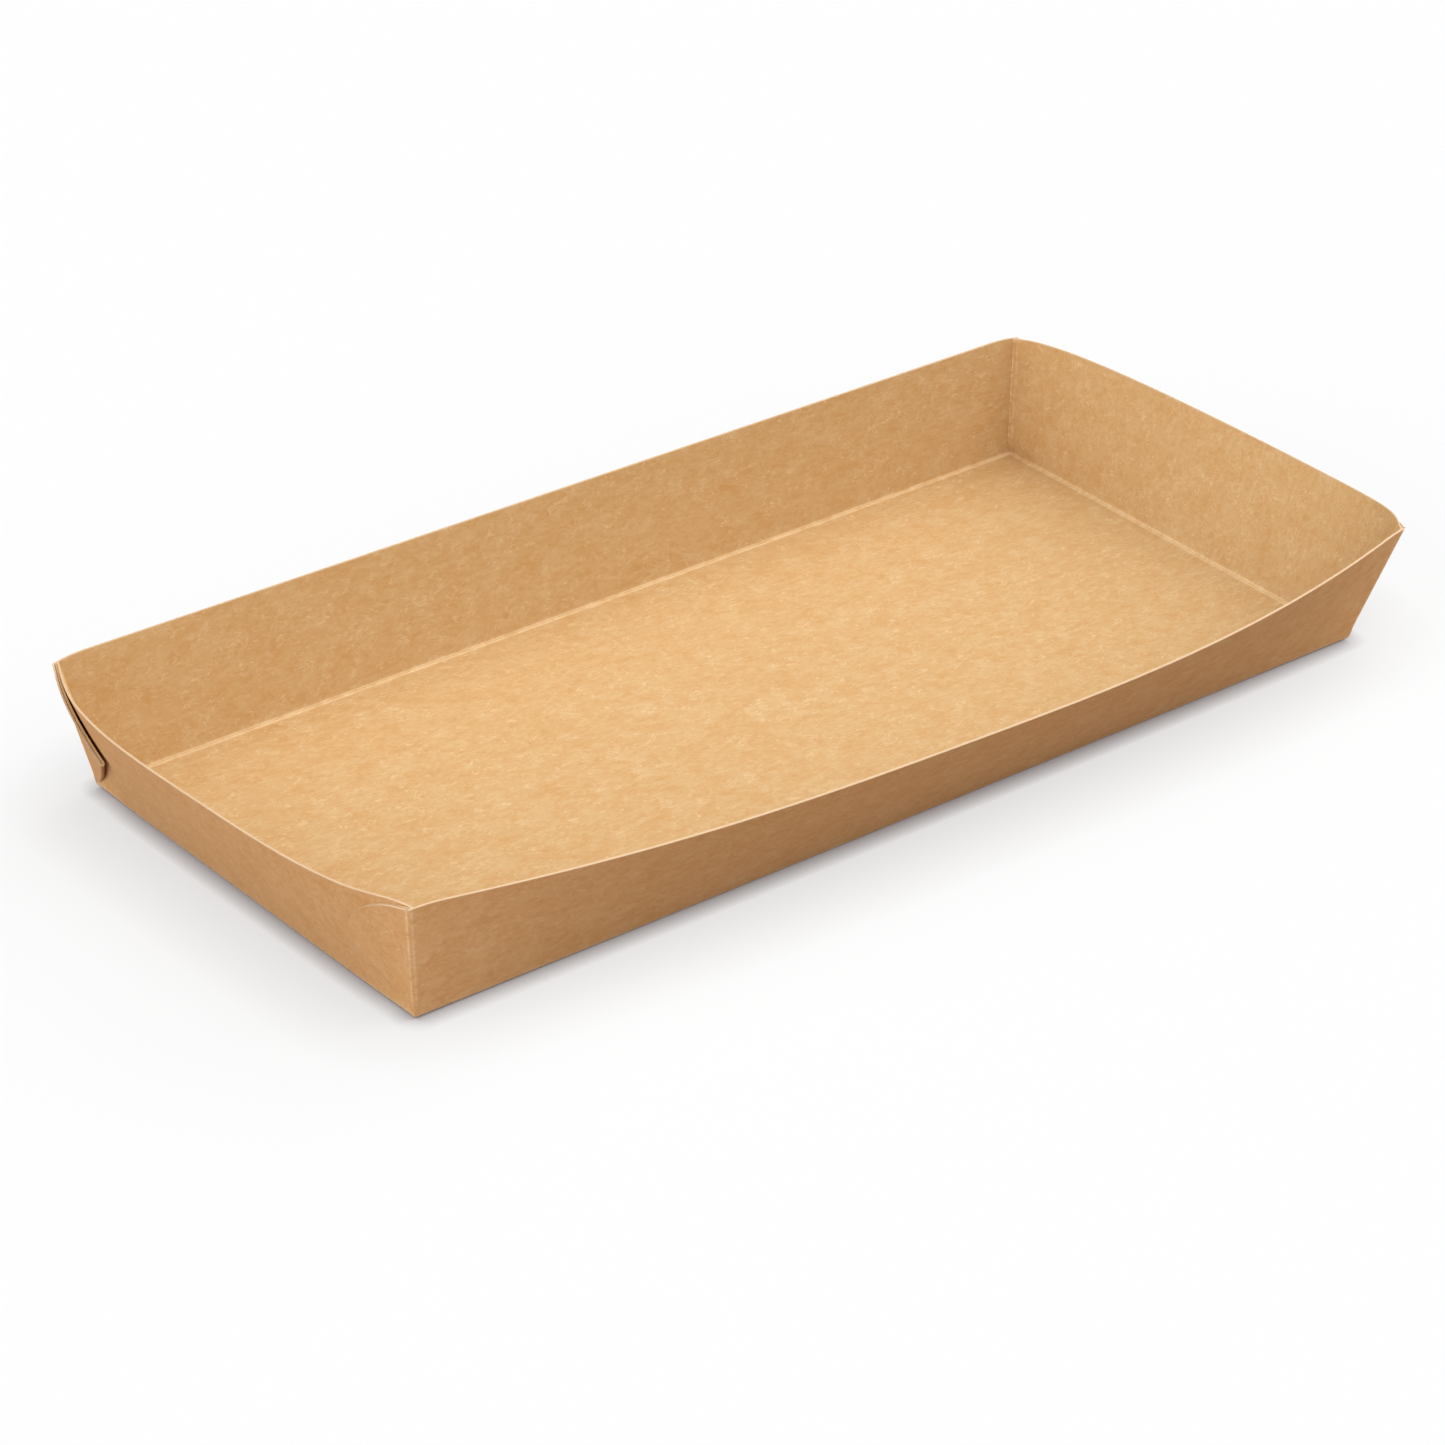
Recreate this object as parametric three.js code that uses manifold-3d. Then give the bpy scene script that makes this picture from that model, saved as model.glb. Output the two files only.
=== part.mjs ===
// A takeaway food tray, folded and glued from one die-cut blank of kraft board.
// Millimetres, +Z up. The tray stands on z = 0 with its long sides along X and its front at -Y.
// Each corner of the blank is a web between two walls. It folds in half along its diagonal,
// and the double ply lies on the outside of the short wall as a gusset.

import * as THREE from "three";
import { mergeVertices } from "three/addons/utils/BufferGeometryUtils.js";
import Module from "manifold-3d";

// Board, base and the bend where the base turns into a wall
const boardThickness = 0.45;
const baseLength = 230;
const baseWidth = 101.5;
const bendRadius = 0.9;

// Wall height from base crease to rim, measured up the slope
const wallSlope = 27.2;

// How far each wall leans out from upright at its middle, in degrees
const frontLean = 33;
const backLean = 7;
const leftLean = 24.5;
const rightLean = 26;

// How far the corners between them lean out, in degrees
const frontLeftLean = 9;
const frontRightLean = 14.6;
const backRightLean = 3.3;
const backLeftLean = 11.8;

// A wall bows from its upright ends to its open middle by a power of the way along,
// and its bow can be fuller at one end: towards the end where the skew's sign points
const longBowPower = 2.8;
const shortBowPower = 3.6;
const frontBowSkew = 0.16;
const rightBowSkew = -0.5;
const leftBowSkew = -0.16;

// The rim dips towards each corner, because the blank's corners are rounded
const rimDip = 0.8;
const rimDipRun = 7;

// Gusset: the folded diagonal from base corner to tip, its angle in degrees off the corner crease,
// and the cut edge, which follows the rim and then rounds down to the tip
const gussetFold = 21.3;
const gussetAngle = 48;
const gussetRimRun = 2.5;
const gussetEdgeRadius = 11.5;

// The short wall steps in behind the gusset at the corner. The step grows over this height
// above the base corner, and is gone again this far along the wall.
const tuckHeight = 4;
const tuckRun = 15;

// Slot between the two plies, which stops short of the crease and the fold by its margin
const plySlot = 0.14;
const slotMargin = 1;

// How far the glued ply is pressed into the wall
const glueDepth = 0.3;

// The back left gusset has sprung off its wall by this much at its tip
const sprungLift = 1.3;

// Steps along a long and a short wall and up their slope, and across a gusset and round its edge
const longSteps = 28;
const shortSteps = 26;
const slopeSteps = 4;
const gussetColumns = 8;
const edgeArcSteps = 4;

const kraftColour = 0xcf9c65;

const degrees = Math.PI / 180;
const gussetDepth = 2 * boardThickness;

// The four walls in order around the tray, anticlockwise from above.
// A wall runs along its own direction from t = -1 to t = 1, and leans towards its outside.
const longWall = { half: baseLength / 2, reach: baseWidth / 2, steps: longSteps, power: longBowPower, skew: 0 };
const shortWall = { half: baseWidth / 2, reach: baseLength / 2, steps: shortSteps, power: shortBowPower };
const walls = {
  front: { ...longWall, along: [1, 0], out: [0, -1], skew: frontBowSkew },
  right: { ...shortWall, along: [0, 1], out: [1, 0], skew: rightBowSkew, gusseted: true },
  back: { ...longWall, along: [-1, 0], out: [0, 1] },
  left: { ...shortWall, along: [0, -1], out: [-1, 0], skew: leftBowSkew, gusseted: true },
};
Object.assign(walls.front, { startLean: frontLeftLean, middleLean: frontLean, endLean: frontRightLean });
Object.assign(walls.right, { startLean: frontRightLean, middleLean: rightLean, endLean: backRightLean });
Object.assign(walls.back, { startLean: backRightLean, middleLean: backLean, endLean: backLeftLean });
Object.assign(walls.left, { startLean: backLeftLean, middleLean: leftLean, endLean: frontLeftLean });

// The four gussets: each lies on a short wall, at the end that side gives
const gussets = [
  { wall: walls.left, side: 1, lift: 0 },
  { wall: walls.left, side: -1, lift: sprungLift },
  { wall: walls.right, side: 1, lift: 0 },
  { wall: walls.right, side: -1, lift: 0 },
];

function clamp(value) {
  return Math.min(Math.max(value, 0), 1);
}

function cornerLean(wall, t) {
  return (t < 0 ? wall.startLean : wall.endLean) * degrees;
}

// Lean of the wall at t, in radians
function leanAt(wall, t) {
  const straight = THREE.MathUtils.lerp(wall.startLean, wall.endLean, (t + 1) / 2);
  const bow = wall.middleLean - (wall.startLean + wall.endLean) / 2;
  return (straight + bow * (1 - Math.abs(t) ** wall.power) * (1 + wall.skew * t)) * degrees;
}

// Height of the rim up the slope, at a distance from the corner crease
function rimAt(fromCorner) {
  return wallSlope - rimDip * (1 - clamp(fromCorner / rimDipRun)) ** 2;
}

// How thick the gusset's two plies lie, at height up the slope
function pliesAt(climb) {
  return gussetDepth * clamp(climb / tuckHeight);
}

// How far the short wall steps in behind its gusset, at height up the slope and distance from the corner
function tuckAt(climb, fromCorner) {
  const fade = 1 - clamp(fromCorner / tuckRun);
  return pliesAt(climb) * fade * fade * (3 - 2 * fade);
}

// A point of the wall's section: climb is up the slope and depth goes into the board from outside.
// Out is measured from the base edge, and up from the table.
function slopePoint(lean, climb, depth) {
  const out = climb * Math.sin(lean) - depth * Math.cos(lean);
  const up = climb * Math.cos(lean) + depth * Math.sin(lean);
  return { out, up };
}

// A point of the bend below the wall, where turn runs from 0 at the base to 1 at the wall
function bendPoint(lean, turn, depth) {
  const full = Math.PI / 2 - lean;
  const radius = bendRadius - depth;
  const out = radius * Math.sin(turn * full) - bendRadius * Math.tan(full / 2);
  const up = bendRadius - radius * Math.cos(turn * full);
  return { out, up };
}

// The section's points in order: under the base, up the outside, over the rim and down the inside
function sectionRows() {
  const turns = [0, 0.5, 1].map((turn) => ({ turn }));
  const tuck = [0.5, 1].map((share) => ({ climb: () => share * tuckHeight }));
  const slope = Array.from({ length: slopeSteps }, (_, step) => ({
    climb: (rim) => THREE.MathUtils.lerp(tuckHeight, rim, (step + 1) / slopeSteps),
  }));
  const upwards = [...turns, ...tuck, ...slope];
  const outside = upwards.map((row) => ({ ...row, depth: 0 }));
  const inside = upwards.map((row) => ({ ...row, depth: boardThickness })).reverse();
  return [...outside, ...inside];
}

// One section row at a station of a wall: its place in the section, and the wall's half length there
function rowPoint(wall, t, row) {
  const fromCorner = (1 - Math.abs(t)) * wall.half;
  const climb = row.climb ? row.climb(rimAt(fromCorner)) : 0;
  const place = (lean) =>
    row.climb ? slopePoint(lean, climb, row.depth) : bendPoint(lean, row.turn, row.depth);
  const { out, up } = place(leanAt(wall, t));
  const corner = cornerLean(wall, t);
  const stretch = wall.half + place(corner).out;
  const tuck = (distance) => tuckAt(climb, distance);
  if (wall.gusseted) {
    return { out: out - tuck(fromCorner) / Math.cos(leanAt(wall, t)), up, stretch };
  }
  return { out, up, stretch: stretch - tuck(0) / Math.cos(corner) };
}

// Place a point in the tray's frame: along the wall, out from its base edge, and up
function inTray(wall, along, out, up) {
  const reach = wall.reach + out;
  return new THREE.Vector3(
    wall.along[0] * along + wall.out[0] * reach,
    wall.along[1] * along + wall.out[1] * reach,
    up,
  );
}

// Drop everything but the positions, share the vertices and leave out faces that have closed up
function tidied(geometry) {
  geometry.deleteAttribute("normal");
  geometry.deleteAttribute("uv");
  const merged = mergeVertices(geometry);
  const index = Array.from(merged.index.array);
  const kept = [];
  for (let face = 0; face < index.length; face += 3) {
    const [a, b, c] = index.slice(face, face + 3);
    if (a !== b && b !== c && c !== a) {
      kept.push(a, b, c);
    }
  }
  merged.setIndex(kept);
  return merged;
}

// Base and walls as one shell: a lathe of section rows whose rings are carried to the tray's outline
function foldedShell() {
  const rows = sectionRows();
  const stations = Object.values(walls).flatMap((wall) =>
    Array.from({ length: wall.steps }, (_, step) => {
      const t = Math.sin(((2 * step) / wall.steps - 1) * (Math.PI / 2));
      return { wall, t };
    }),
  );
  const profile = [0, ...rows.map(() => 1), 0].map((radius, level) => new THREE.Vector2(radius, level));
  const lathe = new THREE.LatheGeometry(profile, stations.length);
  const position = lathe.attributes.position;
  for (let vertex = 0; vertex < position.count; vertex += 1) {
    const level = vertex % profile.length;
    const { wall, t } = stations[Math.floor(vertex / profile.length) % stations.length];
    let point = new THREE.Vector3(0, 0, level === 0 ? 0 : boardThickness);
    if (level > 0 && level <= rows.length) {
      const { out, up, stretch } = rowPoint(wall, t, rows[level - 1]);
      point = inTray(wall, t * stretch, out, up);
    }
    position.setXYZ(vertex, point.x, point.y, point.z);
  }
  return tidied(lathe);
}

// The gusset's outline beside its corner crease: distance from the crease, and height up the slope
function gussetOutline() {
  const fold = gussetAngle * degrees;
  const tip = new THREE.Vector2(Math.sin(fold), Math.cos(fold)).multiplyScalar(gussetFold);
  const top = rimAt(0);
  const centre = new THREE.Vector2(gussetRimRun, top - gussetEdgeRadius);
  const toTip = tip.clone().sub(centre);
  const tangent = Math.atan2(toTip.y, toTip.x) + Math.acos(gussetEdgeRadius / toTip.length());
  return { tip, top, centre, tangent };
}

// The gusset as rows from the base corner to the rim: height up the slope, and width there
function gussetRows({ tip, centre, tangent }) {
  const folded = [bendRadius, tip.y / 3, (2 * tip.y) / 3, tip.y].map(
    (climb) => new THREE.Vector2(climb * Math.tan(gussetAngle * degrees), climb),
  );
  const arc = new THREE.Path().absarc(centre.x, centre.y, gussetEdgeRadius, tangent, Math.PI / 2, false);
  const cut = arc.getPoints(edgeArcSteps).slice(-edgeArcSteps - 1);
  const middle = tip.clone().lerp(cut[0], 0.5);
  return [...folded, middle, ...cut].map((point) => ({ climb: point.y, from: 0, to: point.x }));
}

// The slot between the plies: shut along the crease and the fold, and open past the cut edge
function slotRows(rows, { tip, top }) {
  const slot = rows
    .filter((row) => row.climb > tuckHeight)
    .map(({ climb, to }) => ({ climb, from: slotMargin, to: climb > tip.y ? to + slotMargin : to - slotMargin }));
  return [...slot, { climb: top + slotMargin, from: slotMargin, to: gussetRimRun + slotMargin }];
}

// A slab on a gusset's place on its short wall, as a box whose grid is carried there.
// A row goes from one distance to another beside the corner crease, and its depths go in
// from the gusset's outer face.
function gussetSlab({ wall, side, lift }, tip, rows, depthsAt) {
  const box = new THREE.BoxGeometry(1, 1, 1, gussetColumns, rows.length - 1, 1);
  const position = box.attributes.position;
  for (let vertex = 0; vertex < position.count; vertex += 1) {
    const { climb, from, to } = rows[Math.round((position.getY(vertex) + 0.5) * (rows.length - 1))];
    const fromCorner = THREE.MathUtils.lerp(from, to, position.getX(vertex) + 0.5);
    const spring = lift * Math.max(0, (fromCorner - gussetRimRun) / (tip.x - gussetRimRun));
    const laid = tuckAt(climb, fromCorner) - pliesAt(climb) - spring;
    const depth = laid + depthsAt(climb)[position.getZ(vertex) > 0 ? 0 : 1];
    const stretch = wall.half + climb * Math.sin(cornerLean(wall, side));
    const { out, up } = slopePoint(leanAt(wall, side * (1 - fromCorner / stretch)), climb, depth);
    const point = inTray(wall, side * (stretch - fromCorner), out, up);
    position.setXYZ(vertex, point.x, point.y, point.z);
  }
  const slab = tidied(box);
  if (side > 0) {
    slab.setIndex(Array.from(slab.index.array).reverse());
  }
  return slab;
}

const wasm = await Module();
wasm.setup();

function toSolid(geometry) {
  return new wasm.Manifold(
    new wasm.Mesh({
      numProp: 3,
      vertProperties: Float32Array.from(geometry.attributes.position.array),
      triVerts: Uint32Array.from(geometry.index.array),
    }),
  );
}

function toGeometry(solid) {
  const { vertProperties, triVerts } = solid.getMesh();
  const geometry = new THREE.BufferGeometry();
  geometry.setAttribute("position", new THREE.BufferAttribute(vertProperties, 3));
  geometry.setIndex(new THREE.BufferAttribute(triVerts, 1));
  geometry.computeVertexNormals();
  return geometry;
}

function foldedTray() {
  let tray = toSolid(foldedShell());
  const outline = gussetOutline();
  const rows = gussetRows(outline);
  const plies = (climb) => [0, pliesAt(climb) + glueDepth];
  const slot = () => [boardThickness - plySlot / 2, boardThickness + plySlot / 2];
  for (const gusset of gussets) {
    tray = tray.add(toSolid(gussetSlab(gusset, outline.tip, rows, plies)));
    tray = tray.subtract(toSolid(gussetSlab(gusset, outline.tip, slotRows(rows, outline), slot)));
  }
  const board = new THREE.MeshStandardMaterial({ color: kraftColour, roughness: 0.9, metalness: 0 });
  board.flatShading = true;
  const mesh = new THREE.Mesh(toGeometry(tray), board);
  mesh.name = "folded_tray";
  return mesh;
}

const tray = new THREE.Group();
tray.add(foldedTray());

export default tray;
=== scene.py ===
"""A kraft board food tray on a white table, under soft light."""

import math

import bmesh
import bpy
from mathutils import Matrix, Vector


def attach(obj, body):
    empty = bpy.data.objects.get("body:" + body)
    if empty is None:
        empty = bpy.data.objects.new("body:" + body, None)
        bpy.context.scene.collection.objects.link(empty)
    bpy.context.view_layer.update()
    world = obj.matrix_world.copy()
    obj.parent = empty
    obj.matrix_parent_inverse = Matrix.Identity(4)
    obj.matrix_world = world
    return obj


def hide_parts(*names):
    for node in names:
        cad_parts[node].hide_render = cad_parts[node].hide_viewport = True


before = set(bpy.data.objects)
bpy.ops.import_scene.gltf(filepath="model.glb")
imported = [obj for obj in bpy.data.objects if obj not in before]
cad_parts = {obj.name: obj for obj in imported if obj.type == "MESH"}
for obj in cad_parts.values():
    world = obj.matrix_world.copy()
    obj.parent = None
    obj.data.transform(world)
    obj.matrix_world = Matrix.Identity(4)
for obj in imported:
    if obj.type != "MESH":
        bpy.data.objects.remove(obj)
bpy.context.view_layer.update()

# The folded tray: one die-cut blank of uncoated kraft board. Its four walls are folded up on
# scored creases. Each corner web is folded in half behind its diagonal and lies as a double ply
# on the outside of the short wall, where it is glued, except at the back left where it has sprung.

# Sizes are in millimetres until the finished sheet is scaled to metres
MILLIMETRE = 0.001
BOARD = 0.45
BASE_HALF_LENGTH = 115.0
BASE_HALF_WIDTH = 50.75
BEND_RADIUS = 0.9
WALL_SLOPE = 27.2
RIM_DIP = 0.8
RIM_DIP_RUN = 7.0
LONG_BOW_POWER = 2.8
SHORT_BOW_POWER = 3.6

GUSSET_FOLD = 21.3
GUSSET_ANGLE = math.radians(48)
GUSSET_RIM_RUN = 2.5
GUSSET_EDGE_RADIUS = 11.5
PLY_GAP = 0.08
PLIES = 2 * BOARD + PLY_GAP
GLUE_GAP = 0.02
TUCK_START = 1.4
TUCK_HEIGHT = 4.0
TUCK_RUN = 15.0
CREASE_RADIUS = 0.55
SHORT_END = BOARD + 0.1
SPRUNG_LIFT = 0.6
SPRUNG_WALL = "left"
SPRUNG_SIDE = -1

SCORE_LIFT = 0.1
SCORE_OFFSET = 0.42
SCORE_WIDTH = 0.24
GROOVE_DEPTH = 0.07
SCORE_FADE = 3.0

# Each wall: the directions along it and out of it, its half length and reach, how many degrees it
# leans at its start, middle and end, the fullness and skew of its bow, and whether gussets lie on it
WALLS = {
    "front": dict(along=(1, 0), out=(0, -1), half=BASE_HALF_LENGTH, reach=BASE_HALF_WIDTH,
                  leans=(9, 33, 14.6), power=LONG_BOW_POWER, skew=0.16, short=False),
    "right": dict(along=(0, 1), out=(1, 0), half=BASE_HALF_WIDTH, reach=BASE_HALF_LENGTH,
                  leans=(14.6, 26, 3.3), power=SHORT_BOW_POWER, skew=-0.5, short=True),
    "back": dict(along=(-1, 0), out=(0, 1), half=BASE_HALF_LENGTH, reach=BASE_HALF_WIDTH,
                 leans=(3.3, 7, 11.8), power=LONG_BOW_POWER, skew=0, short=False),
    "left": dict(along=(0, -1), out=(-1, 0), half=BASE_HALF_WIDTH, reach=BASE_HALF_LENGTH,
                 leans=(11.8, 24.5, 9), power=SHORT_BOW_POWER, skew=-0.16, short=True),
}


def clamp(value, low=0.0, high=1.0):
    return min(max(value, low), high)


def smooth(share):
    share = clamp(share)
    return share * share * (3 - 2 * share)


def corner_lean(wall, side):
    """How far a wall leans out at its start (side -1) or its end (side 1)."""
    return math.radians(wall["leans"][0 if side < 0 else 2])


def lean_at(wall, t):
    """The lean at t from -1 to 1 along a wall: straight between the corners, with a swell over it."""
    start, middle, end = wall["leans"]
    straight = start + (end - start) * (t + 1) / 2
    bow = middle - (start + end) / 2
    swell = (1 - abs(t) ** wall["power"]) * (1 + wall["skew"] * t)
    return math.radians(straight + bow * swell)


def rim_at(from_corner):
    """How far up the slope the rim lies: it dips a little towards each corner."""
    return WALL_SLOPE - RIM_DIP * (1 - clamp(from_corner / RIM_DIP_RUN)) ** 2


def ramp(climb):
    """From 0 at the base to 1 where the webs have their full thickness."""
    return clamp(climb / TUCK_HEIGHT)


def plies_at(climb):
    return PLIES * ramp(climb)


def tuck_at(climb, from_corner):
    """How far a short wall is tucked in behind its gusset."""
    return plies_at(climb) * smooth(1 - from_corner / TUCK_RUN)


def section_point(lean, run, depth):
    """Out and up of a point: run is the way round the section from the middle of the bend."""
    full = math.pi / 2 - lean
    tangent = BEND_RADIUS * math.tan(full / 2)
    half_bend = BEND_RADIUS * full / 2
    if run <= -half_bend:
        return run + half_bend - tangent, depth
    if run >= half_bend:
        climb = tangent + run - half_bend
        out = climb * math.sin(lean) - depth * math.cos(lean)
        return out, climb * math.cos(lean) + depth * math.sin(lean)
    angle = full * (run + half_bend) / (2 * half_bend)
    radius = BEND_RADIUS - depth
    return radius * math.sin(angle) - tangent, BEND_RADIUS - radius * math.cos(angle)


def climb_of(lean, run):
    """How far up the slope a run lies, measured from the sharp corner under the bend."""
    full = math.pi / 2 - lean
    half_bend = BEND_RADIUS * full / 2
    return max(0.0, BEND_RADIUS * math.tan(full / 2) + run - half_bend)


def in_tray(wall, along, out, up):
    reach = wall["reach"] + out
    return Vector((
        wall["along"][0] * along + wall["out"][0] * reach,
        wall["along"][1] * along + wall["out"][1] * reach,
        up,
    ))


def score(run, faces_in):
    """A score line stands up as a double bead inside and shows as a shallow groove outside."""
    if faces_in:
        beads = sum(math.exp(-(((run - place) / SCORE_WIDTH) ** 2))
                    for place in (-SCORE_OFFSET, SCORE_OFFSET))
        return SCORE_LIFT * beads
    return GROOVE_DEPTH * math.exp(-((run / SCORE_WIDTH) ** 2))


def corner_of(wall, side, run, weight):
    """The corner line of a row: how far along it lies, its inset, and its out and up."""
    lean = corner_lean(wall, side)
    skin = section_point(lean, run, 0)[0]
    out, up = section_point(lean, run, weight * BOARD)
    return wall["half"] + skin, skin - out, out, up


# The sheet is a grid of stations, which go round the tray, and rows, which go through its section.
# A row is a run near the crease, or a share of the slope above SLOPE_FROM less a drop from the rim.
# Its weight is 0 on the outside of the board and 1 on the inside.
SLOPE_FROM = 2.4
SLOPE_STEPS = 20
RIM_ROUND = 0.06
RIM_FRAY = 0.16
RIM_BORDER = 0.3
RIM_WEIGHTS = (0.13, 0.5, 0.87)
OUTSIDE_RUNS = (-6, -3, -1.6, -1, -0.7, -0.5, -0.3, -0.15, 0, 0.15, 0.3, 0.5, 0.7, 1, 1.6)
INSIDE_RUNS = (-6, -3, -1.6, -1.2, -0.95, -0.8, -0.68, -0.58, -0.5, -0.42, -0.34, -0.26, -0.16, 0,
               0.16, 0.26, 0.34, 0.42, 0.5, 0.58, 0.68, 0.8, 0.95, 1.2, 1.6)


def row_run(lean, rim, row):
    """The way round the section at a row."""
    if row["share"] is None:
        return row["run"]
    full = math.pi / 2 - lean
    slope_start = BEND_RADIUS * (full / 2 - math.tan(full / 2))
    return SLOPE_FROM + (rim - row["drop"] + slope_start - SLOPE_FROM) * row["share"]


def runs_to_rows(runs, weight):
    """The rows of one side of the board: near the crease, up the slope and just under the rim."""
    made = [dict(run=run, share=None, drop=0, weight=weight) for run in runs]
    made += [dict(run=None, share=step / SLOPE_STEPS, drop=RIM_BORDER, weight=weight)
             for step in range(SLOPE_STEPS + 1)]
    made += [dict(run=None, share=1, drop=drop, weight=weight) for drop in (RIM_FRAY, RIM_ROUND)]
    return made


def wall_station(wall, t):
    """A station of a wall at t from -1 to 1, as a function from a row to a point."""
    def place(row, weight):
        side = -1 if t < 0 else 1
        corner = corner_lean(wall, side)
        corner_run = row_run(corner, rim_at(0), row)
        raised = ramp(climb_of(corner, corner_run))
        stretch, inset, _, _ = corner_of(wall, side, corner_run, weight)
        if wall["short"]:
            gap = SHORT_END * raised + inset * (1 - raised)
        else:
            gap = inset + (CREASE_RADIUS if weight == 0 else CREASE_RADIUS - BOARD) * raised
        along = t * (stretch - gap)
        from_corner = stretch - abs(along)
        lean = lean_at(wall, along / stretch)
        run = row_run(lean, rim_at(from_corner), row)
        fade = smooth((1 - abs(t)) * wall["half"] / SCORE_FADE)
        depth = weight * BOARD + score(run, weight > 0) * fade
        if wall["short"]:
            depth += tuck_at(climb_of(lean, run), from_corner) + GLUE_GAP * raised
        out, up = section_point(lean, run, depth)
        return in_tray(wall, along, out, up)
    return place


EDGE_STEPS = 12


def cut_edge():
    """The gusset's cut edge from rim to tip, as points beside its corner crease."""
    top = rim_at(0)
    tip = Vector((math.sin(GUSSET_ANGLE), math.cos(GUSSET_ANGLE))) * GUSSET_FOLD
    centre = Vector((GUSSET_RIM_RUN, top - GUSSET_EDGE_RADIUS))
    to_tip = tip - centre
    last = math.atan2(to_tip.y, to_tip.x) + math.acos(GUSSET_EDGE_RADIUS / to_tip.length)
    points = [Vector((0, top)), Vector((GUSSET_RIM_RUN, top))]
    for step in range(1, EDGE_STEPS + 1):
        angle = math.pi / 2 + (last - math.pi / 2) * step / EDGE_STEPS
        points.append(centre + Vector((math.cos(angle), math.sin(angle))) * GUSSET_EDGE_RADIUS)
    points.append(tip)
    return points


def along_edge(points, share):
    """The point at a share of the length of a line of points."""
    lengths = [(b - a).length for a, b in zip(points, points[1:])]
    left = share * sum(lengths)
    for start, end, length in zip(points, points[1:], lengths):
        if left <= length:
            return start.lerp(end, left / length)
        left -= length
    return points[-1]


# FOLD_NORMAL points across the gusset's fold, and TURN_POWER says how late a ply turns towards it
EDGE = cut_edge()
TIP = EDGE[-1]
FOLD_NORMAL = Vector((math.cos(GUSSET_ANGLE), -math.sin(GUSSET_ANGLE)))
TURN_POWER = 6


def gusset_place(wall, side, beside, climb, depth):
    """A point on a gusset: its distance beside the corner crease, height up the slope and depth."""
    sprung = wall is WALLS[SPRUNG_WALL] and side == SPRUNG_SIDE
    lift = SPRUNG_LIFT if sprung else 0
    spring = lift * max(0.0, (beside - GUSSET_RIM_RUN) / (TIP.x - GUSSET_RIM_RUN))
    depth += tuck_at(climb, beside) - plies_at(climb) - spring
    stretch = wall["half"] + climb * math.sin(corner_lean(wall, side))
    lean = lean_at(wall, side * (1 - beside / stretch))
    out = climb * math.sin(lean) - depth * math.cos(lean)
    up = climb * math.cos(lean) + depth * math.sin(lean)
    return in_tray(wall, side * (stretch - beside), out, up)


def neighbour(wall, side):
    """The long wall that meets a short wall's end, and which of its ends."""
    walls = list(WALLS.values())
    return walls[(walls.index(wall) + side) % len(walls)], -side


def gusset_station(wall, side, part, share):
    """A station on the folded web. The web runs from the crease across the outer ply, round its
    fold, back across the inner ply and round into the short wall."""
    def place(row, weight):
        lean = corner_lean(wall, side)
        run = row_run(lean, rim_at(0), row)
        climb = climb_of(lean, run)
        stretch, inset, out, up = corner_of(wall, side, run, weight)
        corner = in_tray(wall, side * (stretch - inset), out, up)
        if climb <= TUCK_START:
            return corner
        scale = climb / rim_at(0)
        thick = ramp(climb)
        skin = weight * BOARD * thick
        begin = inset + (CREASE_RADIUS - weight * BOARD) * thick
        half_plies = PLIES / 2 * thick
        if part in ("crease", "outer"):
            edge = along_edge(EDGE, share if part == "outer" else 0) * scale
            beside = begin + edge.x * (1 - begin / (TIP.x * scale))
            spot = Vector((beside, edge.y)) - FOLD_NORMAL * half_plies * share ** TURN_POWER
            point = gusset_place(wall, side, spot.x, spot.y, skin)
            if part == "crease":
                long_wall, long_side = neighbour(wall, side)
                first = wall_station(long_wall, long_side)(row, weight)
                point = first.lerp(corner, share).lerp(corner.lerp(point, share), share)
        elif part == "fold":
            radius = half_plies - skin
            angle = math.pi * share
            spot = TIP * scale + FOLD_NORMAL * (radius * math.sin(angle) - half_plies)
            point = gusset_place(wall, side, spot.x, spot.y, half_plies - radius * math.cos(angle))
        elif part == "inner":
            edge = along_edge(EDGE, 1 - share) * scale
            beside = SHORT_END * thick + edge.x * (1 - SHORT_END * thick / (TIP.x * scale))
            spot = Vector((beside, edge.y)) - FOLD_NORMAL * half_plies * (1 - share) ** TURN_POWER
            point = gusset_place(wall, side, spot.x, spot.y, 2 * half_plies - skin)
        else:
            angle = math.pi * share
            turn = max(skin, GLUE_GAP / 2)
            beside = SHORT_END * thick - turn * math.sin(angle)
            depth = 2 * half_plies - turn * math.cos(angle)
            point = gusset_place(wall, side, beside, climb, depth)
        return corner.lerp(point, smooth((climb - TUCK_START) / TUCK_START))
    return place


def worn(beside):
    """How worn the board is at a distance from a fold."""
    return math.exp(-((beside / SCORE_WIDTH) ** 2))


LONG_STEPS = 96
SHORT_STEPS = 64
OUTER_STEPS = 16
FOLD_STEPS = 8
INNER_STEPS = 10
TURN_STEPS = 6
CREASE_SHARES = (0.07, 0.15, 0.25, 0.4, 0.6, 0.75, 0.85, 0.93)
OUTER_MIDDLE = tuple(step / OUTER_STEPS for step in range(1, OUTER_STEPS))
OUTER_SHARES = (0, 0.004, 0.009, 0.015, 0.025, *OUTER_MIDDLE, 0.975, 0.992, 1)
CREASE_WIDTH = 0.85
OUTER_LENGTH = 26.0
FOLD_WORN_FROM = 0.99
FOLD_WEAR_TOP = 20.0
# Painted shade: on the fold and the inner ply, which lie back in shadow, the pale edge shows only
# this much
INNER_EDGE_PAINTED_SHADE = 0.35
SECOND_LINE = 1.1
SECOND_WEAR = 0.5


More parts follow.
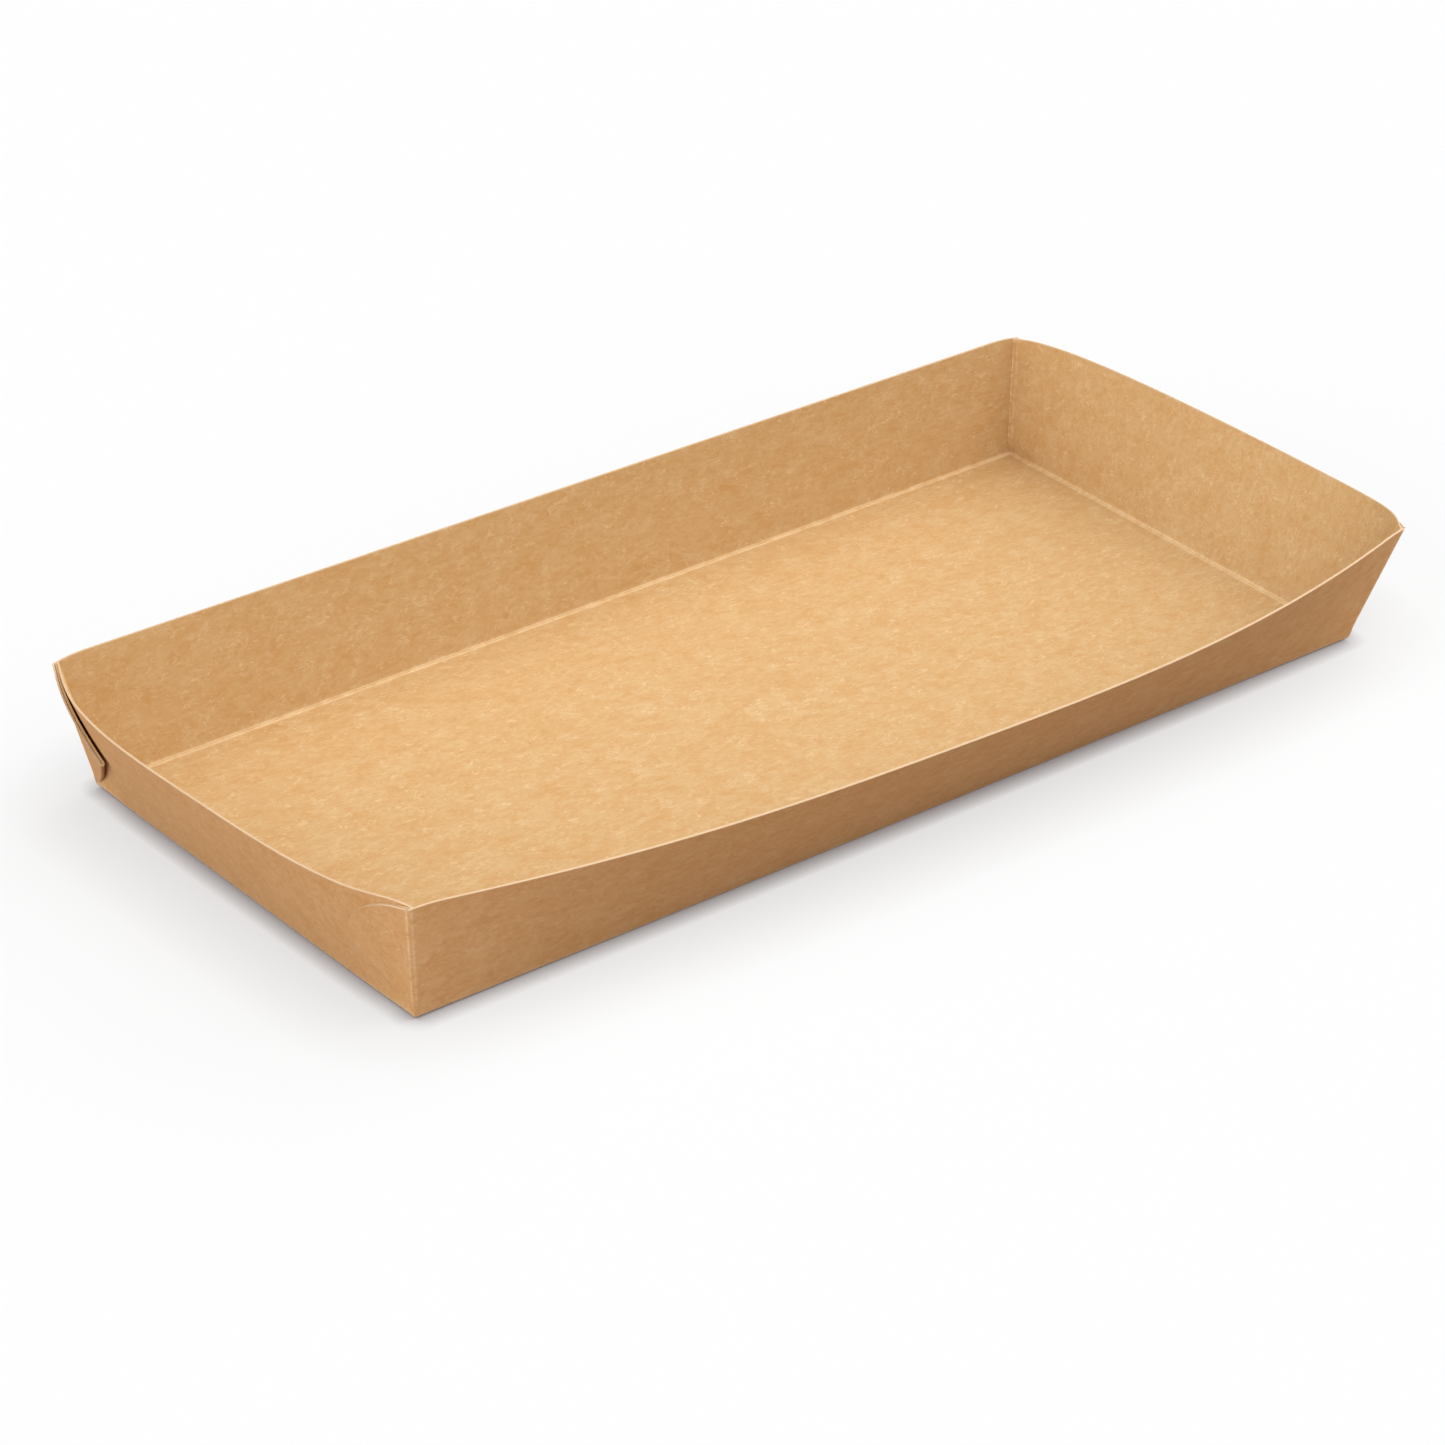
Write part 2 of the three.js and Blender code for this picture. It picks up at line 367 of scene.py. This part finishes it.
def web(wall, side):
    """The stations of a folded web, each with how worn its crease and its fold are, how pale its cut
    edge is (on the fold and the inner ply's edge it is kept less pale as painted shade, since they
    lie back in shadow), and how worn it is inside the tray."""
    made = []
    for share in CREASE_SHARES:
        wear = worn(CREASE_WIDTH * min(share, 1 - share))
        made.append((gusset_station(wall, side, "crease", share), wear, 0, 1, 0))
    for share in OUTER_SHARES:
        fold = 1 if share > FOLD_WORN_FROM else 0
        wear = worn(share * OUTER_LENGTH)
        made.append((gusset_station(wall, side, "outer", share), wear, fold, 1, 0))
    for step in range(1, FOLD_STEPS):
        fold = 1 if step < FOLD_STEPS / 2 else 0
        made.append((gusset_station(wall, side, "fold", step / FOLD_STEPS), 0, fold, INNER_EDGE_PAINTED_SHADE, 0))
    for step in range(INNER_STEPS + 1):
        made.append((gusset_station(wall, side, "inner", step / INNER_STEPS), 0, 0, INNER_EDGE_PAINTED_SHADE, 0))
    for step in range(1, TURN_STEPS):
        made.append((gusset_station(wall, side, "turn", step / TURN_STEPS), 0, 0, 1, 1))
    return made if side < 0 else made[::-1]


def wall_run(wall, steps):
    """The stations of a wall, closer together towards its corners, with the same marks as a web's."""
    made = []
    for step in range(steps + 1):
        t = math.sin(math.pi / 2 * (2 * step / steps - 1))
        from_end = (1 - abs(t)) * wall["half"]
        if wall["short"]:
            inner_crease = worn(from_end) + worn(from_end - SECOND_LINE) * SECOND_WEAR
            made.append((wall_station(wall, t), 0, 0, 1, inner_crease))
        else:
            made.append((wall_station(wall, t), worn(from_end), 0, 1, worn(from_end)))
    return made


stations = []
for wall in WALLS.values():
    if wall["short"]:
        stations += web(wall, -1) + wall_run(wall, SHORT_STEPS) + web(wall, 1)
    else:
        stations += wall_run(wall, LONG_STEPS)

# The rows go up the outside from under the base, over the cut rim and down the inside
rim_rows = [dict(run=None, share=1, drop=0, weight=weight) for weight in RIM_WEIGHTS]
rows = runs_to_rows(OUTSIDE_RUNS, 0) + rim_rows + runs_to_rows(INSIDE_RUNS, 1)[::-1]

# Each vertex also keeps how worn its score line and crease are, how much of it is pale cut edge
# (kept weaker on the fold and inner ply as painted shade) and whether it is on the outside
GRID_HALF = 0.5
ROUND_TONE = 0.8
FRAY_TONE = 0.4
SCORE_WEAR_OFFSET = 0.4
SCORE_WEAR_WIDTH = 0.4

board = bmesh.new()
wear_layer = board.verts.layers.float.new("wear")
crease_layer = board.verts.layers.float.new("crease")
cut_layer = board.verts.layers.float.new("cut_edge")
outside_layer = board.verts.layers.float.new("outside")
bmesh.ops.create_grid(board, x_segments=len(stations), y_segments=len(rows) - 1, size=GRID_HALF)
board.verts.ensure_lookup_table()
for vertex in board.verts:
    column = round((vertex.co.x + GRID_HALF) * len(stations)) % len(stations)
    row = rows[round((vertex.co.y + GRID_HALF) * (len(rows) - 1))]
    station, crease, fold, edge_paleness_and_shade, inner_crease = stations[column]
    weight = row["weight"]
    vertex[outside_layer] = 1 - weight
    if 0 < weight < 1:
        vertex.co = station(row, 0).lerp(station(row, 1), weight)
        vertex[cut_layer] = edge_paleness_and_shade
    else:
        vertex.co = station(row, weight)
        if row["drop"] == RIM_ROUND:
            vertex[cut_layer] = edge_paleness_and_shade * ROUND_TONE
        elif row["drop"] == RIM_FRAY:
            vertex[cut_layer] = edge_paleness_and_shade * FRAY_TONE
    if row["run"] is not None:
        from_bead = (abs(row["run"]) - SCORE_WEAR_OFFSET) / SCORE_WEAR_WIDTH
        vertex[wear_layer] = math.exp(-(from_bead ** 2))
    elif weight == 0:
        climb = row["share"] * WALL_SLOPE
        vertex[crease_layer] = max(crease, fold * clamp(1 - climb / FOLD_WEAR_TOP))
    elif weight == 1:
        vertex[crease_layer] = inner_crease

# The grid's two ends meet, so they are welded, and the base is then filled from below and above
WELD = 0.0005
SHARP_ANGLE = math.radians(40)

bmesh.ops.remove_doubles(board, verts=board.verts, dist=WELD)
rims_of_base = [edge for edge in board.edges if edge.is_boundary]
bmesh.ops.holes_fill(board, edges=rims_of_base, sides=0)
bmesh.ops.recalc_face_normals(board, faces=board.faces)
for face in board.faces:
    face.smooth = True
bmesh.ops.scale(board, vec=(MILLIMETRE, MILLIMETRE, MILLIMETRE), verts=board.verts)
mesh = bpy.data.meshes.new("folded_kraft_tray")
board.to_mesh(mesh)
board.free()
mesh.set_sharp_from_angle(angle=SHARP_ANGLE)
tray = bpy.data.objects.new("folded_kraft_tray", mesh)
bpy.context.scene.collection.objects.link(tray)

# The board's colours: darker and paler pulp on each side, then what shows on top of it
BOARD_ROUGHNESS = 0.8
BOARD_SPECULAR = 0.3
INSIDE_DARK = (0.447, 0.249, 0.090)
INSIDE_PALE = (0.506, 0.335, 0.162)
OUTSIDE_DARK = (0.548, 0.290, 0.108)
OUTSIDE_PALE = (0.630, 0.380, 0.184)
FIBRE_COLOUR = (0.76, 0.61, 0.41)
SCORE_COLOUR = (0.70, 0.52, 0.31)
CREASE_COLOUR = (0.76, 0.52, 0.30)
CUT_COLOUR = (0.54, 0.39, 0.25)

kraft = bpy.data.materials.new("kraft_board")
kraft.use_nodes = True
nodes = kraft.node_tree.nodes
links = kraft.node_tree.links
shader = nodes["Principled BSDF"]
shader.inputs["Roughness"].default_value = BOARD_ROUGHNESS
shader.inputs["Specular IOR Level"].default_value = BOARD_SPECULAR

# Where a Mix node has its colour sockets
MIX_FACTOR = 0
MIX_FIRST = 6
MIX_SECOND = 7
MIX_RESULT = 2


# These helpers add to the node tree that nodes and links stand for at the time
def node(kind, **settings):
    """A new node, with its inputs and its other settings given by name."""
    made = nodes.new(kind)
    for key, value in settings.items():
        if key in made.inputs:
            made.inputs[key].default_value = value
        else:
            setattr(made, key, value)
    return made


def math_node(operation, first, second=None, third=None):
    made = nodes.new("ShaderNodeMath")
    made.operation = operation
    for socket, value in zip(made.inputs, (first, second, third)):
        if value is None:
            continue
        if isinstance(value, (int, float)):
            socket.default_value = value
        else:
            links.new(value, socket)
    return made.outputs[0]


def clamped(value):
    return math_node("MINIMUM", math_node("MAXIMUM", value, 0.0), 1.0)


def noise(vector, scale, detail=2.0, roughness=0.5, distortion=0.0):
    made = node("ShaderNodeTexNoise", Scale=scale, Detail=detail, Roughness=roughness,
                Distortion=distortion)
    links.new(vector, made.inputs["Vector"])
    return made.outputs["Fac"]


def attribute(name):
    return node("ShaderNodeAttribute", attribute_name=name).outputs["Fac"]


def mix_colour(factor, first, second):
    made = nodes.new("ShaderNodeMix")
    made.data_type = "RGBA"
    for place_of, value in ((MIX_FACTOR, factor), (MIX_FIRST, first), (MIX_SECOND, second)):
        socket = made.inputs[place_of]
        if isinstance(value, (int, float)):
            socket.default_value = value
        elif isinstance(value, tuple):
            socket.default_value = (*value, 1)
        else:
            links.new(value, socket)
    return made.outputs[MIX_RESULT]


# How much of each noise goes into the tone, and how strongly each mark shows
NOISE_MIDDLE = 0.5
CLOUD_SHARE = 0.25
FORMATION_SHARE = 0.45
PULP_SHARE = 0.3
TONE_CONTRAST = 4.2
FIBRE_PATCHES = 0.52
FIBRE_STRENGTH = 0.22
SCORE_STRENGTH = 1.1
CREASE_CONTRAST = 3.0
CREASE_OFFSET = -1.0
CUT_STRENGTH = 0.85
BUMP_STRENGTH = 0.25
BUMP_DISTANCE = 0.00015
BUMP_FORMATION = 0.6
BUMP_FIBRE = 0.2

# The grain lies along the tray: its noise is stretched that way
GRAIN_STRETCH = (0.5, 1.0, 1.0)

place = nodes.new("ShaderNodeTexCoord").outputs["Object"]
stretched = node("ShaderNodeMapping", Scale=GRAIN_STRETCH)
links.new(place, stretched.inputs["Vector"])
grain_place = stretched.outputs["Vector"]

cloud = noise(place, scale=160, detail=3, roughness=0.6)
formation = noise(grain_place, scale=700, detail=4, roughness=0.65, distortion=0.6)
pulp = noise(grain_place, scale=1900, detail=3, roughness=0.7)


def fibre(scale, width, distortion):
    """Thin crooked lines: the places where a noise passes through its middle value."""
    level = noise(grain_place, scale, distortion=distortion)
    ridge = math_node("ABSOLUTE", math_node("SUBTRACT", level, NOISE_MIDDLE))
    return math_node("SUBTRACT", 1.0, math_node("MINIMUM", math_node("DIVIDE", ridge, width), 1.0))


patches = math_node("GREATER_THAN", noise(place, scale=300), FIBRE_PATCHES)
light_fibre = math_node("MULTIPLY", fibre(scale=520, width=0.03, distortion=1.2), patches)
tone = math_node("MULTIPLY", cloud, CLOUD_SHARE)
tone = math_node("ADD", tone, math_node("MULTIPLY", formation, FORMATION_SHARE))
tone = math_node("ADD", tone, math_node("MULTIPLY", pulp, PULP_SHARE))
from_middle = math_node("SUBTRACT", tone, NOISE_MIDDLE)
spread = clamped(math_node("MULTIPLY_ADD", from_middle, TONE_CONTRAST, NOISE_MIDDLE))
inside = mix_colour(spread, INSIDE_DARK, INSIDE_PALE)
outside = mix_colour(spread, OUTSIDE_DARK, OUTSIDE_PALE)
colour = mix_colour(attribute("outside"), inside, outside)
colour = mix_colour(math_node("MULTIPLY", light_fibre, FIBRE_STRENGTH), colour, FIBRE_COLOUR)
rubbed = math_node("MULTIPLY", formation, SCORE_STRENGTH)
colour = mix_colour(math_node("MULTIPLY", attribute("wear"), rubbed), colour, SCORE_COLOUR)
cracked = math_node("MULTIPLY_ADD", formation, CREASE_CONTRAST, CREASE_OFFSET)
cracked = clamped(math_node("MULTIPLY", attribute("crease"), cracked))
colour = mix_colour(cracked, colour, CREASE_COLOUR)
# The pale cut edge; where it is weaker, on the fold and the inner ply, that is painted shade
colour = mix_colour(math_node("MULTIPLY", attribute("cut_edge"), CUT_STRENGTH), colour, CUT_COLOUR)
links.new(colour, shader.inputs["Base Color"])

bump = node("ShaderNodeBump", Strength=BUMP_STRENGTH, Distance=BUMP_DISTANCE)
height = math_node("MULTIPLY", formation, BUMP_FORMATION)
height = math_node("ADD", height, math_node("MULTIPLY", light_fibre, BUMP_FIBRE))
links.new(height, bump.inputs["Height"])
links.new(bump.outputs["Normal"], shader.inputs["Normal"])
mesh.materials.append(kraft)

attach(tray, "root")
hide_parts("folded_tray")

# The table is a plain white sheet that the tray stands on. It shows white with the tray's soft
# shadow on it, partly cast by the lamps and partly painted shadow darkening its glow near the tray,
# and throws a little warm light back up at the walls.

TABLE_SIZE = 6.0
TABLE_DROP = 0.0002
TABLE_GLOW = 0.786
TABLE_SEEN = 0.125
TABLE_THROWN = (0.26, 0.18, 0.12)
WHITE = (1.0, 1.0, 1.0)

# The painted shadow close to the tray, darkening the table's glow by ambient occlusion: how far each
# of its two parts reaches and how deep it is
SHADOWS = ((0.021, 0.26), (0.004, 0.95))
SHADOW_SAMPLES = 4
SHADOW_TINT = (0.05, 0.01, 0.01)

table_form = bmesh.new()
bmesh.ops.create_grid(table_form, x_segments=1, y_segments=1, size=TABLE_SIZE / 2)
bmesh.ops.translate(table_form, vec=(0, 0, -TABLE_DROP), verts=table_form.verts)
table_mesh = bpy.data.meshes.new("white_table")
table_form.to_mesh(table_mesh)
table_form.free()
table = bpy.data.objects.new("white_table", table_mesh)
bpy.context.scene.collection.objects.link(table)
paper = bpy.data.materials.new("white_table")
paper.use_nodes = True
nodes = paper.node_tree.nodes
links = paper.node_tree.links
shader = nodes["Principled BSDF"]
shader.inputs["Roughness"].default_value = 1.0
shader.inputs["Specular IOR Level"].default_value = 0.0


def seen_ray():
    """One for a ray that shows the surface itself, straight, mirrored or through glass."""
    path = nodes.new("ShaderNodeLightPath").outputs
    mirrored = math_node("MAXIMUM", path["Is Camera Ray"], path["Is Glossy Ray"])
    return math_node("MAXIMUM", mirrored, path["Is Transmission Ray"])


seen = seen_ray()
links.new(mix_colour(seen, TABLE_THROWN, (TABLE_SEEN,) * 3), shader.inputs["Base Color"])
# Painted shadow: the glow that the camera sees is darkened towards SHADOW_TINT where the tray is near
shade = 1.0
for reach, depth in SHADOWS:
    closed = node("ShaderNodeAmbientOcclusion", Distance=reach)
    closed.samples = SHADOW_SAMPLES
    part_shade = math_node("MULTIPLY_ADD", closed.outputs["AO"], depth, 1 - depth)
    shade = math_node("MULTIPLY", shade, part_shade)
links.new(mix_colour(shade, SHADOW_TINT, WHITE), shader.inputs["Emission Color"])
links.new(math_node("MULTIPLY", seen, TABLE_GLOW), shader.inputs["Emission Strength"])
table_mesh.materials.append(paper)

# Soft studio light: broad lamps overhead, high in front, high on the right, low on the left and low
# on the right. The white room behind is only seen, and adds almost nothing to the light.

LAMP_SPREAD = math.radians(70)
LAMPS = {
    "soft_top": ((0, 0, 1), 0.6),
    "soft_front": ((0, -0.7, 0.7), 2.1),
    "soft_left": ((-0.966, 0, 0.26), 3.3),
    "soft_right": ((0.7, 0, 0.7), 2.5),
    "soft_low_right": ((0.94, 0, 0.34), 0.9),
}
ROOM_STRENGTH = 0.02

for name, (source, strength) in LAMPS.items():
    lamp_data = bpy.data.lights.new(name, "SUN")
    lamp_data.energy = strength
    lamp_data.angle = LAMP_SPREAD
    lamp = bpy.data.objects.new(name, lamp_data)
    lamp.rotation_euler = Vector(source).to_track_quat("Z", "Y").to_euler()
    bpy.context.scene.collection.objects.link(lamp)

room = bpy.data.worlds.new("room")
room.use_nodes = True
nodes = room.node_tree.nodes
links = room.node_tree.links
room_light = nodes["Background"]
room_light.inputs["Color"].default_value = (*WHITE, 1)
links.new(math_node("MAXIMUM", seen_ray(), ROOM_STRENGTH), room_light.inputs["Strength"])
bpy.context.scene.world = room

# The camera looks down on the near left corner from about a metre away, through a long lens. Its
# place, turn and focal length are those that put the tray's edges where the photograph has them.

IMAGE_PIXELS = 1445
SENSOR = 36.0
FOCAL_PIXELS = 5405
AZIMUTH = math.radians(-39.52)
ELEVATION = math.radians(29.84)
ROLL = math.radians(1.22)
DISTANCE = 1.0452
AIM = Vector((-0.0057, -0.0016, 0))

camera_data = bpy.data.cameras.new("camera")
camera_data.sensor_width = SENSOR
camera_data.lens = SENSOR * FOCAL_PIXELS / IMAGE_PIXELS
camera = bpy.data.objects.new("camera", camera_data)
back = Vector((
    math.sin(AZIMUTH) * math.cos(ELEVATION),
    -math.cos(AZIMUTH) * math.cos(ELEVATION),
    math.sin(ELEVATION),
))
level = Vector((math.cos(AZIMUTH), math.sin(AZIMUTH), 0))
upright = back.cross(level)
right = level * math.cos(ROLL) + upright * math.sin(ROLL)
turn = Matrix((right, back.cross(right), back)).transposed()
camera.matrix_world = Matrix.Translation(AIM + back * DISTANCE) @ turn.to_4x4()
bpy.context.scene.collection.objects.link(camera)
bpy.context.scene.camera = camera
bpy.context.scene.view_settings.view_transform = "Standard"
